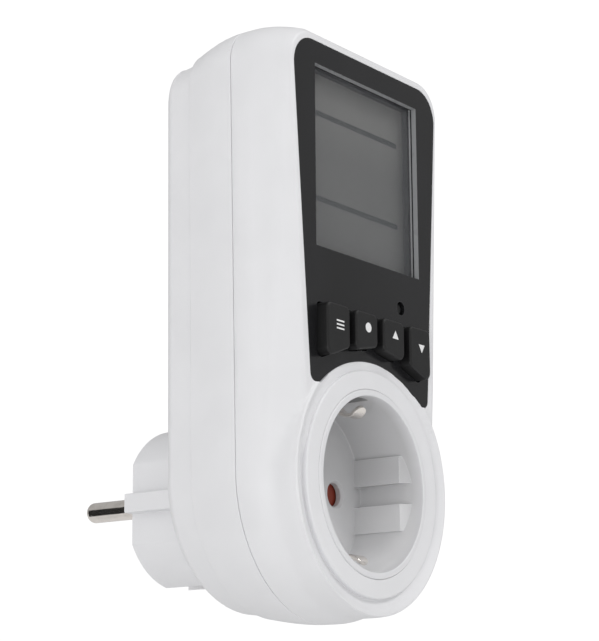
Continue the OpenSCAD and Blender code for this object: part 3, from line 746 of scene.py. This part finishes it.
def cover_rows(y0, inset, face_inset, side_rows, offsets, blend):
    """Rows of points on the front cover, from y0 forward over the edge to the middle of the face.

    Each point is where a ray from the cover's spine leaves the solid. With blend, the swell of the
    bulge over the tapered body is smoothed outside BLEND_R.
    """
    base = housing_outline(front_section(y0), inset)
    spine = np.c_[np.zeros(len(base)), np.clip(base[:, 1], SOCKET_Z, SPINE_TOP)]
    out = base - spine
    reach = np.linalg.norm(out, axis=1)
    out /= reach[:, None]
    edge_y = FRONT_Y + face_inset + 1
    flat = np.c_[out[:, 0], np.zeros(len(out)), out[:, 1]]
    start = np.c_[spine[:, 0], np.full(len(out), edge_y), spine[:, 1]]

    def body_only(p):
        return body_field(p, inset, face_inset)

    def both(p):
        return np.minimum(body_only(p), bulge_field(p, inset))

    edge = ray_hits(both, start, flat)
    targets = [(edge, y) for y in np.linspace(y0, edge_y, side_rows)]
    targets += [(edge - o, FRONT_Y + face_inset) for o in offsets]
    targets += [((edge - offsets[-1]) * share, FRONT_Y + face_inset) for share in (0.66, 0.33, 0)]
    origins, directions = [], []
    for rho, y in targets:
        d = flat * (np.zeros(len(out)) + rho)[:, None]
        d[:, 1] = y - y0
        directions.append(d / np.linalg.norm(d, axis=1)[:, None])
        origins.append(np.c_[spine[:, 0], np.full(len(out), y0), spine[:, 1]])
    o, d = np.vstack(origins), np.vstack(directions)
    body = ray_hits(body_only, o, d)
    whole = ray_hits(both, o, d)
    swell = (whole - body).reshape(len(targets), -1).T
    if blend:
        hit = o + whole[:, None] * d
        r = np.hypot(hit[:, 0], hit[:, 2] - SOCKET_Z).reshape(len(targets), -1).T
        weight = np.clip((r - BLEND_R) / BLEND_WIDTH, 0, 1)
        soft = blurred(blurred(swell, 0, 8, True), 1, 2, False)
        swell = swell * (1 - weight) + soft * weight
        swell[:, 0] = 0
        side, height = hit[:, 0].reshape(r.T.shape).T, hit[:, 2].reshape(r.T.shape).T
        swell[under_panel(side, height)] = 0
    hit = o + (body + swell.T.ravel())[:, None] * d
    rows = hit.reshape(len(targets), -1, 3)
    rows[0] = lift(base, y0)
    return list(rows)


def front_cover():
    seam = SEAM_Y - SEAM_GAP
    rabbet_y = seam - 1.9
    offsets = list(np.arange(0.2, 5.0, 0.17)) + list(np.arange(5.0, 10.4, 0.27)) + [12, 14]
    outer = cover_rows(seam, 0.0, 0.0, 14, offsets, True)
    inner = cover_rows(rabbet_y, WALL, FACE_IN_Y - FRONT_Y, 6, [1.0, 3.0, 6.0], False)
    ledge = [lift(housing_outline(front_section(y), 1.1), y) for y in (rabbet_y, seam)]
    lip = [lift(housing_outline(front_section(seam), SEAM_CHAMFER), seam)]
    outer[0] = lift(housing_outline(front_section(seam)), seam - SEAM_CHAMFER)
    shell = skin("front_cover_shell", inner[::-1] + ledge + lip + outer)
    hole_r = RIM_R + 0.04
    disc = rounded([(hole_r, DISC_Y), (DISC_R, DISC_Y), (DISC_R, FRONT_Y + 2.4), (hole_r, FRONT_Y + 2.4)],
                   [0.1, 0.45, 0, 0], 4)
    join(shell, lathe("disc", disc, (0, SOCKET_Z), 160))
    cut(shell,
        prism("pocket", panel_outline(-0.1), FRONT_Y - 2, PANEL_BACK_Y),
        prism("window", window_outline(1.0), FRONT_Y - 3, FACE_IN_Y + 1),
        prism("socket_hole", circle((0, SOCKET_Z), RIM_R + 0.05, 160), FRONT_Y - 3, FACE_IN_Y + 1),
        prism("reset_hole", circle(RESET_POS, RESET_HOLE_R + 0.1, 32), FRONT_Y - 3, FACE_IN_Y + 1))
    for i in range(len(KEYS)):
        cut(shell, prism("key_hole", key_outline(i, GAP), FRONT_Y - 3, FACE_IN_Y + 1))
    return piece(shell, "housing", "white_plastic", ["front_cover"], 40)


# ---------- Rear cover ----------

def rear_cover():
    seam = SEAM_Y + SEAM_GAP
    rows = [lift(housing_outline(middle_section(SEAM_Y), SEAM_CHAMFER), seam),
            lift(housing_outline(middle_section(SEAM_Y)), seam + SEAM_CHAMFER)]
    for y in np.linspace(seam + 0.8, STEP_Y - 0.6, 14):
        rows.append(lift(housing_outline(middle_section(y)), y))
    step_r = 0.45
    for turn in np.linspace(0, 90, 6):
        bend = step_r * (1 - math.cos(math.radians(turn)))
        y = STEP_Y - step_r + step_r * math.sin(math.radians(turn))
        rows.append(lift(housing_outline(middle_section(STEP_Y - 0.5), bend), y))
    rows.append(lift(housing_outline(rear_section(STEP_Y), -0.12), STEP_Y))
    for y in [STEP_Y + 0.12] + list(np.linspace(STEP_Y + 0.6, -22.4, 6)):
        rows.append(lift(housing_outline(rear_section(y)), y))
    for turn in np.linspace(0, 90, 12):
        y = REAR_TURN_Y + REAR_TURN_R * math.sin(math.radians(turn))
        rows.append(lift(housing_outline(rear_section(y)), y))
    inside = [lift(housing_outline(rear_section(y), WALL), y) for y in (REAR_IN_Y, -24.5, STEP_Y)]
    inside += [lift(housing_outline(middle_section(y), WALL), y) for y in (STEP_Y - 0.5, -34.0, seam)]
    tongue = [lift(housing_outline(front_section(SEAM_Y), inset), y)
              for inset, y in ((WALL, SEAM_Y - 1.7), (1.25, SEAM_Y - 1.7), (1.25, seam))]
    shell = skin("rear_cover_shell", inside + tongue + rows, cap_first=True, cap_last=True)
    for side in (-1, 1):
        for x, z in CASE_SCREWS:
            join(shell, prism("tube", circle((side * x, z), POST_R + 0.8, 40), POST_Y + 0.1, REAR_IN_Y + 0.2))
    for side in (-1, 1):
        for x, z in CASE_SCREWS:
            cut(shell, prism("screw_hole", circle((side * x, z), SCREW_HOLE_R, 40), -28.0, HOUSING_Y + 1),
                prism("screw_way", circle((side * x, z), 1.55, 24), POST_Y - 1, -27.5))
    cut(shell, prism("plug_hole", plug_outline(0.05), -24, HOUSING_Y + 1))
    return piece(shell, "housing", "white_plastic", ["rear_cover"], 40)


# ---------- Panel, display and keys ----------

def window_outline(grow):
    return rectangle(-WINDOW_HALF - grow, WINDOW_LOW - grow, WINDOW_HALF + grow, WINDOW_HIGH + grow)


def key_outline(i, grow):
    side = -1 if i < 2 else 1
    outer = i in (0, 3)
    x = side * (1.5 if outer else 0.5) * KEY_PITCH
    h = KEY_W / 2 + grow
    low_in, low_out = (30, 26.9) if outer else (31.8, 30.2)
    points = [(x - side * h, low_in - grow), (x + side * h, low_out - grow),
              (x + side * h, KEY_TOP + grow), (x - side * h, KEY_TOP + grow)]
    return rounded(points, [1.2, 1.6, 1.2, 1.2], 8)


def front_panel():
    panel = prism("front_panel_sheet", panel_outline(0), PANEL_Y, PANEL_BACK_Y)
    cut(panel, prism("reset_hole", circle(RESET_POS, RESET_HOLE_R, 40), PANEL_Y - 1, PANEL_BACK_Y + 1))
    for i in range(len(KEYS)):
        cut(panel, prism("key_hole", key_outline(i, GAP), PANEL_Y - 1, PANEL_BACK_Y + 1))
    edge_y = PANEL_Y + WINDOW_WALL_DEPTH
    cut(panel, prism("window", window_outline(0), PANEL_Y - 1, edge_y),
        prism("window_back", window_outline(-0.02), edge_y - 0.5, PANEL_BACK_Y + 1))
    soften(panel, 0.22, 3, 50)
    panel.data.materials.append(MATERIALS["gloss_black"])
    panel.data.materials.append(MATERIALS["window_wall_reflection"])
    # Painted reflection: the front part of the window's wall in the gloss black panel gets the light grey
    # material instead of black.
    reach = 0.3
    for face in panel.data.polygons:
        x, y, z = face.center / MM
        on_wall = abs(face.normal.y) < 0.2 and PANEL_Y + 0.15 < y < edge_y
        by_side = abs(abs(x) - WINDOW_HALF) < reach and WINDOW_LOW - reach < z < WINDOW_HIGH + reach
        by_end = min(abs(z - WINDOW_LOW), abs(z - WINDOW_HIGH)) < reach and abs(x) < WINDOW_HALF + reach
        if on_wall and (by_side or by_end):
            face.material_index = 1
    return piece(panel, "housing", "gloss_black", ["front_panel"], 30)


def lcd():
    low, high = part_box("lcd_glass")
    glass = block("lcd_cell", low / MM + Vector((0, 0.35, 0)), high / MM)
    soften(glass, 0.12, 2)
    piece(glass, "housing", "lcd_grey", ["lcd_glass"])
    margin = 0.8
    film = block("lcd_film", (low.x / MM + margin, LCD_Y, low.z / MM + margin),
                 (high.x / MM - margin, LCD_Y + 0.34, high.z / MM - margin))
    soften(film, 0.06, 2)
    piece(film, "housing", "lcd_grey")
    bar_half = 0.65
    bar_places = (64.7, 84.6)
    for i, z in enumerate(bar_places):
        bar = block(f"lcd_bar_{i}", (-WINDOW_HALF + 0.2, LCD_Y - 0.02, z - bar_half),
                    (WINDOW_HALF - 2.6, LCD_Y + 0.01, z + bar_half))
        bar.data.materials.append(MATERIALS["lcd_bar"])
        piece(bar, "housing", "lcd_grey")


def key_cap(i):
    """Key with a rounded front edge and the flange that holds it behind the panel."""
    node, body = KEYS[i]
    rows = [lift(key_outline(i, 0), FACE_IN_Y + GAP + 0.05)]
    bend = 0.55
    for turn in np.linspace(0, 90, 7):
        a = math.radians(turn)
        rows.append(lift(key_outline(i, -bend * (1 - math.cos(a))), KEY_Y + 0.04 + bend * (1 - math.sin(a))))
    cap = skin(node + "_cap", rows, cap_first=True, cap_last=True)
    join(cap, prism("flange", key_outline(i, FLANGE_REACH), FACE_IN_Y + GAP, KEY_BACK_Y))
    piece(cap, body, "matt_black", [node], 40)
    centre = key_outline(i, 0).mean(axis=0)
    for n, mark in enumerate(key_marks(i, (middle(node, "x") + 0.4, centre[1] + 0.6))):
        print_piece = prism(f"{node}_mark_{n}", mark, KEY_Y, KEY_Y + 0.06)
        print_piece.data.materials.append(MATERIALS["key_print"])
        piece(print_piece, body, "light_plastic")


def key_marks(i, at):
    """Plain printed signs: three lines, a round coin, and an arrow each way."""
    x, z = at
    if i == 0:
        return [rectangle(x - 1.4, z + dz - 0.17, x + 1.4, z + dz + 0.17) for dz in (-0.85, 0, 0.85)]
    if i == 1:
        return [circle((x, z), 1.1, 32)]
    up = 1 if i == 2 else -1
    return [np.array([(x - 1.2, z - 0.8 * up), (x + 1.2, z - 0.8 * up), (x, z + 1.1 * up)])[::up]]


def keypad_mat():
    """Rubber mat with a dome behind each key."""
    low, high = (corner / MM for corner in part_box("keypad_mat"))
    base_y = high.y - 0.8
    sheet = block("keypad_sheet", (low.x, base_y, low.z), (high.x, high.y, high.z))
    soften(sheet, 0.15, 2)
    piece(sheet, "housing", "grey_rubber", ["keypad_mat"])
    foot_y = base_y + 0.1
    profile = rounded([(0, low.y), (2.5, low.y), (2.6, low.y + 0.9), (3.6, foot_y), (0, foot_y)],
                      [0, 0.3, 0.5, 0, 0], 4)
    for i, (node, _) in enumerate(KEYS):
        x = (i - 1.5) * KEY_PITCH
        dome = piece(lathe(node + "_dome", profile, (x, DOME_Z), 48), "housing", "grey_rubber")
        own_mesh(dome)


def reset_button():
    top = span("reset_button", "y")[0]
    flange_y = FACE_IN_Y + GAP
    profile = rounded([(0, top), (1.25, top), (1.25, flange_y), (2.05, flange_y), (2.05, flange_y + 0.8),
                       (0, flange_y + 0.8)], [0, 0.3, 0, 0.1, 0.1, 0], 4)
    piece(lathe("reset_button_cap", profile, RESET_POS, 32), "reset_body", "matt_black", ["reset_button"])


# ---------- Socket ----------

def guide_prism(low_z, high_z, side):
    """Block beside the plug's guide rib, with a sloping front."""
    guide_x = 16.9
    outline = [(guide_x, FLOOR_Y + 0.1), (guide_x, FRONT_Y + 4.2), (RECESS_R + 0.6, FRONT_Y + 2),
               (RECESS_R + 0.6, FLOOR_Y + 0.1)]
    loops = [np.array([(side * x, y, SOCKET_Z + z) for x, y in outline]) for z in (low_z, high_z)]
    return skin("guide", loops, cap_first=True, cap_last=True)


def socket_insert():
    back = CARRIER_Y
    profile = rounded(
        [(0, FLOOR_Y), (RECESS_R, FLOOR_Y), (RECESS_R, RIM_Y), (RIM_R, RIM_Y), (RIM_R, FACE_IN_Y + 0.1),
         (25, FACE_IN_Y + 0.1), (25, FACE_IN_Y + 1.6), (RIM_R, FACE_IN_Y + 1.6), (RIM_R, back), (18, back),
         (18, FLOOR_BACK_Y), (0, FLOOR_BACK_Y)],
        [0, 0.35, 0.28, 0.38, 0, 0.2, 0.2, 0, 0.2, 0.2, 0, 0], 6)
    insert = lathe("socket_insert_shell", profile, (0, SOCKET_Z), 160)
    for side in (-1, 1):
        join(insert, guide_prism(2.4, 8.6, side), guide_prism(-8.6, -2.4, side),
             block("clip_box", (-4.3, FACE_IN_Y + 1.5, SOCKET_Z + side * CLIP_BOX_Z - CLIP_BOX_HALF),
                   (4.3, back, SOCKET_Z + side * CLIP_BOX_Z + CLIP_BOX_HALF)),
             prism("boss", circle((side * BOSS_X, SOCKET_Z), BOSS_R, 24), FLOOR_BACK_Y - 0.1, back))
    for side in (-1, 1):
        cut(insert, lathe("pin_hole", pin_hole_profile(), (side * PIN_X, SOCKET_Z), 48),
            block("clip_slot", (-2.5, FRONT_Y + 2.6, SOCKET_Z + side * CLIP_SLOT_Z - CLIP_SLOT_HALF),
                  (2.5, back + 1, SOCKET_Z + side * CLIP_SLOT_Z + CLIP_SLOT_HALF)),
            prism("boss_hole", circle((side * BOSS_X, SOCKET_Z), BOSS_HOLE_R, 24), back - 2.6, back + 1))
    cut(insert, prism("pivot_hole", circle((0, SOCKET_Z), 2.05, 40), FLOOR_Y - 1, FLOOR_BACK_Y + 1))
    soften(insert, 0.16, 2, 38)
    return piece(insert, "housing", "socket_plastic", ["socket_insert"], 12)


def pin_hole_profile():
    chamfer = 0.55
    wide = PIN_HOLE_R + chamfer
    return np.array([(0, FLOOR_Y - 0.5), (wide, FLOOR_Y - 0.5), (wide, FLOOR_Y - 0.01),
                     (PIN_HOLE_R, FLOOR_Y + chamfer), (PIN_HOLE_R, FLOOR_BACK_Y + 1), (0, FLOOR_BACK_Y + 1)])


def earth_clip(name, node, side):
    """Bent spring strip with a round end."""
    back = span(node, "y")[1] - 0.4
    path = smooth_path([(back, CLIP_R), (-42.5, CLIP_R), (-44.5, 19.8), (-47.3, 17), (-49.3, 15.95),
                        (-50.8, 15.7), (-51.9, 16.1), (-53.35, 17.55)], 8)
    ahead = np.gradient(path, axis=0)
    ahead /= np.linalg.norm(ahead, axis=1)[:, None]
    across = np.c_[-ahead[:, 1], ahead[:, 0]] * STRIP_HALF
    walked = np.r_[0, np.cumsum(np.linalg.norm(np.diff(path, axis=0), axis=1))]
    left = walked[-1] - walked
    end_r = 2.0
    half = np.where(left < end_r, np.sqrt(np.maximum(end_r ** 2 - (end_r - left) ** 2, 0.02)), end_r)
    corner = 0.12
    loops = []
    for p, n, w in zip(path, across, half):
        c = min(corner, w * 0.4)
        flat = rounded([(-w, -1), (w, -1), (w, 1), (-w, 1)], [c] * 4, 2)
        loops.append(np.array([(u, p[0] + n[0] * v, SOCKET_Z + side * (p[1] + n[1] * v)) for u, v in flat]))
    clip = skin(name, loops, cap_first=True, cap_last=True)
    return piece(clip, "housing", "nickel", [node], 50)


# ---------- Plug ----------

def plug_outline(grow):
    """Round plug with a flat on each side and a guide rib on each flat."""
    r, flat, rib, rib_half = 18.8 + grow, 16.4 + grow, 19.2 + grow, 2.2 + grow
    at = math.degrees(math.acos(flat / r))
    top = arc((0, 0), r, at, 180 - at, 60)
    end = r * math.sin(math.radians(at))
    side = rounded([(flat, -end), (flat, -rib_half), (rib, -rib_half), (rib, rib_half), (flat, rib_half),
                    (flat, end)], [0, 0.3, 0.3, 0.3, 0.3, 0], 3)
    return np.vstack([side[:-1], top, mirrored(side[1:-1]), -top])


def plug_body():
    flange_y = REAR_IN_Y - 1.2
    flange_r, hollow_r, face_wall = 20.6, 13.8, 4
    channel_z, channel_half = 17.8, 2.3
    strip_z, strip_half = 15.95, 0.5
    body = prism("plug_body_shell", plug_outline(0), flange_y, 0)
    join(body, prism("flange", circle((0, 0), flange_r, 120), flange_y, REAR_IN_Y))
    cut(body, prism("hollow", circle((0, 0), hollow_r, 96), flange_y - 1, -face_wall))
    for side in (-1, 1):
        channel, strip = side * channel_z, side * strip_z
        cut(body, prism("pin_way", circle((side * PIN_X, 0), SHANK_R + 0.05, 40), -face_wall - 1, 1),
            block("channel", (-4, -14.3, channel - channel_half), (4, 1, channel + channel_half)),
            block("strip_way", (-2.6, flange_y - 1, strip - strip_half), (2.6, -13, strip + strip_half)))
    soften(body, 0.3, 3, 35)
    return piece(body, "housing", "white_plastic", ["plug_body"], 35)


def mains_pin(node):
    r, tip = PIN_R, 1.6
    end = arc((r - tip, PIN_END_Y - tip), tip, 0, 90, 12)
    shank = [(0, -10), (SHANK_R, -10), (SHANK_R, 0.02), (r - 0.1, 0.02), (r, 0.12)]
    profile = np.vstack([shank, end, [(0, PIN_END_Y)]])
    pin = lathe(node + "_turned", profile, (middle(node, "x"), 0), 64)
    return piece(pin, "housing", "nickel", [node], 35)


def plug_earth(node, side):
    """Bent earth strip along the plug's channel."""
    back = span(node, "y")[0]
    z = 15.9
    path = [(back, z), (-4.2, z), (-3.0, z - 0.02), (-2.45, z - 0.1)]
    half = 2.5
    flat = rounded([(-half, -STRIP_HALF), (half, -STRIP_HALF), (half, STRIP_HALF), (-half, STRIP_HALF)],
                   [0.12] * 4, 2)
    loops = []
    for y, at in path:
        loops.append(np.array([(u, y, side * (at + v)) for u, v in flat]))
    strip = skin(node + "_strip", loops, cap_first=True, cap_last=True)
    return piece(strip, "housing", "nickel", [node], 50)


front_cover()
rear_cover()
front_panel()
lcd()
for index in range(len(KEYS)):
    key_cap(index)
keypad_mat()
reset_button()
socket_insert()
earth_clip("upper_earth_spring", "upper_earth_clip", 1)
earth_clip("lower_earth_spring", "lower_earth_clip", -1)
plug_body()
mains_pin("live_pin")
mains_pin("neutral_pin")
plug_earth("upper_plug_earth", 1)
plug_earth("lower_plug_earth", -1)
for name in ("shutter", "shutter_pivot", "lcd_frame", "case_screws"):
    edge = frame["nodes"][name].modifiers.new("edges", "BEVEL")
    edge.width = 0.1 * MM
    edge.segments = 2
    edge.angle_limit = math.radians(40)


# ---------- Studio ----------

def look_at(obj, target):
    obj.rotation_euler = (Vector(target) - obj.location).to_track_quat("-Z", "Y").to_euler()


def area_light(name, place, target, size, watts):
    data = bpy.data.lights.new(name, "AREA")
    data.shape = "DISK"
    data.size = size
    data.energy = watts
    light = bpy.data.objects.new(name, data)
    light.location = place
    bpy.context.scene.collection.objects.link(light)
    look_at(light, target)
    return light


def plane(name, half, material, z=0.0):
    """A level square sheet round the Z axis."""
    corners = [(-half, -half, z), (half, -half, z), (half, half, z), (-half, half, z)]
    mesh = bpy.data.meshes.new(name)
    mesh.from_pydata(corners, [], [(0, 1, 2, 3)])
    obj = bpy.data.objects.new(name, mesh)
    obj.data.materials.append(material)
    bpy.context.scene.collection.objects.link(obj)
    return obj


def card(name, place, target, size):
    """Dark card that only mirrors see, for the dark band on the bright metal."""
    paper = Surface(name).set(Roughness=0.9)
    paper.paint(paper.mixed(paper.noise(60.0), colour(18, 18, 18), colour(26, 26, 26)))
    obj = plane(name, size / 2, paper.material)
    obj.location = place
    look_at(obj, target)
    obj.visible_camera = False
    obj.visible_diffuse = False
    obj.visible_shadow = False
    obj.visible_transmission = False


def studio():
    """Pale floor, white surroundings that light the object evenly, and two soft lights, in metres."""
    floor_z = -0.2
    floor_half = 4.0
    floor = Surface("floor_paper").set(Roughness=0.8)
    floor.paint(floor.mixed(floor.noise(60.0), colour(238, 238, 238), colour(243, 243, 243)))
    plane("studio_floor", floor_half, floor.material, floor_z)
    card("dark_card", (-0.28, 0.22, -0.03), (-0.01, 0.01, 0), 0.34)

    world = bpy.data.worlds.new("studio")
    bpy.context.scene.world = world
    world.use_nodes = True
    nodes, links = world.node_tree.nodes, world.node_tree.links
    background = nodes["Background"]
    place = nodes.new("ShaderNodeTexCoord")
    slope = nodes.new("ShaderNodeVectorMath")
    slope.operation = "DOT_PRODUCT"
    slope.inputs[1].default_value = (-0.22, 0.0, -0.42)
    links.new(place.outputs["Generated"], slope.inputs[0])
    level = nodes.new("ShaderNodeMath")
    level.operation = "ADD"
    level.inputs[1].default_value = 0.915
    links.new(slope.outputs["Value"], level.inputs[0])
    path = nodes.new("ShaderNodeLightPath")
    strength = level.outputs["Value"]
    # A mix node of numbers takes them at inputs 2 and 3, and gives the result at output 0.
    for ray, value in (("Is Glossy Ray", 0.42), ("Is Camera Ray", 1.05)):
        choice = nodes.new("ShaderNodeMix")
        choice.data_type = "FLOAT"
        choice.inputs[3].default_value = value
        links.new(path.outputs[ray], choice.inputs["Factor"])
        links.new(strength, choice.inputs[2])
        strength = choice.outputs[0]
    links.new(strength, background.inputs["Strength"])
    background.inputs["Color"].default_value = (1, 1, 1, 1)

    target = (0, -0.03, 0.035)
    area_light("key_light", (0.4, -1.05, 1.2), target, 0.6, 6.3)
    area_light("low_light", (-0.6, -0.25, -0.15), target, 0.3, 1.0)


def camera():
    """The camera stands below the meter at its left and looks up at it. Sizes in metres and degrees."""
    azimuth, elevation, roll = math.radians(-53.81), math.radians(-12.45), math.radians(-0.4)
    target = Vector((-0.0055, -0.0400, 0.0398))
    distance = 0.4532
    back = Vector((math.sin(azimuth) * math.cos(elevation), -math.cos(azimuth) * math.cos(elevation),
                   math.sin(elevation)))
    level_right = (-back).cross(Vector((0, 0, 1))).normalized()
    level_up = level_right.cross(-back)
    right = level_right * math.cos(roll) + level_up * math.sin(roll)
    up = level_up * math.cos(roll) - level_right * math.sin(roll)
    data = bpy.data.cameras.new("camera")
    data.lens = 112.1
    data.sensor_width = 36
    data.clip_start = 0.01
    obj = bpy.data.objects.new("camera", data)
    obj.rotation_mode = "QUATERNION"
    obj.location = target + back * distance
    obj.rotation_quaternion = Matrix((right, up, back)).transposed().to_quaternion()
    bpy.context.scene.collection.objects.link(obj)
    bpy.context.scene.camera = obj


studio()
camera()
bpy.context.scene.view_settings.view_transform = "Standard"
